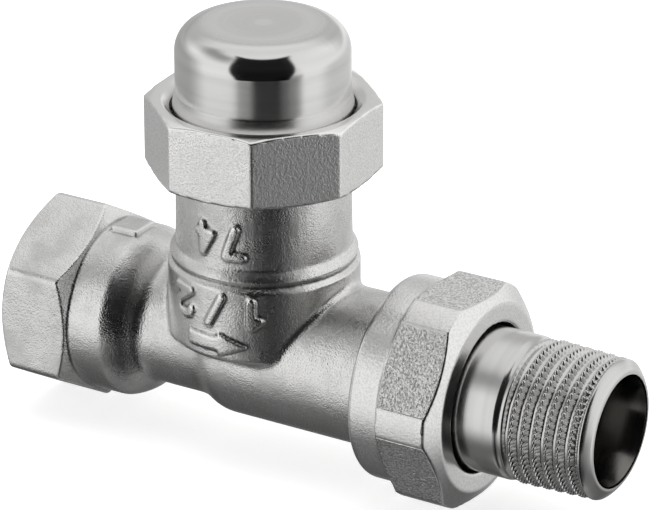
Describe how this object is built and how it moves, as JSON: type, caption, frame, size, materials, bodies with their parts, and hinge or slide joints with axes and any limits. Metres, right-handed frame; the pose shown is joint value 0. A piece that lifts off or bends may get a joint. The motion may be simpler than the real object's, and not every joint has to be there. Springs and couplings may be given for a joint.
{
  "type": "manual radiator valve",
  "caption": "Straight lockshield radiator valve with a threaded hexagonal inlet, an octagonal bonnet under a screw-on cap, and a union nut with a threaded tailpipe.",
  "frame": {"origin": "centre of the inlet's mouth, on the pipe axis", "axes": "+X along the pipe from the inlet to the tailpipe, +Z from the pipe to the cap, -Y towards the face with the raised marks"},
  "size_m": [0.095, 0.0326, 0.064],
  "materials": {
    "forged_nickel": "blasted forging under satin nickel plating",
    "turned_nickel": "turned and nickel plated",
    "plain_brass": "turned, unplated",
    "spring_steel": "spring steel",
    "black_rubber": "smooth elastomer",
    "white_gasket": "pressed sealing sheet"
  },
  "bodies": {
    "body": {"valve_body": "forged_nickel", "bonnet": "turned_nickel", "bonnet_o_ring": "black_rubber", "retaining_ring": "spring_steel"},
    "cap_seal": {"cap_gasket": "white_gasket"},
    "cap": {"protective_cap": "turned_nickel"},
    "spindle_seals": {"spindle_o_ring_lower": "black_rubber", "spindle_o_ring_upper": "black_rubber", "seat_seal": "black_rubber"},
    "spindle": {"shutoff_spindle": "plain_brass", "seal_retainer": "plain_brass"},
    "preset_seal": {"preset_o_ring": "black_rubber"},
    "preset": {"preset_screw": "plain_brass", "throttle_cone": "plain_brass"},
    "tail": {"tailpipe": "turned_nickel", "tailpipe_o_ring": "black_rubber"},
    "nut": {"union_nut": "forged_nickel"}
  },
  "joints": [
    {"name": "cap_lift", "type": "slide", "parent": "body", "child": "cap_seal", "axis": [0, 0, 1], "range_m": [0, 0.0075]},
    {"name": "cap_turn", "type": "hinge", "parent": "cap_seal", "child": "cap", "pos_m": [0.0376, 0, 0.042], "axis": [0, 0, 1], "range_deg": [0, 1804]},
    {"name": "spindle_lift", "type": "slide", "parent": "body", "child": "spindle_seals", "axis": [0, 0, 1], "range_m": [0, 0.0036]},
    {"name": "spindle_turn", "type": "hinge", "parent": "spindle_seals", "child": "spindle", "pos_m": [0.0376, 0, 0.022], "axis": [0, 0, 1], "range_deg": [0, 1299]},
    {"name": "preset_lift", "type": "slide", "parent": "spindle", "child": "preset_seal", "axis": [0, 0, 1], "range_m": [0, 0.003]},
    {"name": "preset_turn", "type": "hinge", "parent": "preset_seal", "child": "preset", "pos_m": [0.0376, 0, 0.02], "axis": [0, 0, 1], "range_deg": [0, 1443]},
    {"name": "tail_slide", "type": "slide", "parent": "body", "child": "tail", "axis": [1, 0, 0], "range_m": [0, 0.00816]},
    {"name": "union_turn", "type": "hinge", "parent": "tail", "child": "nut", "pos_m": [0.067, 0, 0], "axis": [1, 0, 0], "range_deg": [0, 1624]}
  ],
  "couplings": [
    {"joint": "cap_turn", "follows": "cap_lift", "rad_per_m": 4188.8},
    {"joint": "spindle_turn", "follows": "spindle_lift", "rad_per_m": 6283.2},
    {"joint": "preset_turn", "follows": "preset_lift", "rad_per_m": 8377.6},
    {"joint": "union_turn", "follows": "tail_slide", "rad_per_m": 3463.7}
  ]
}
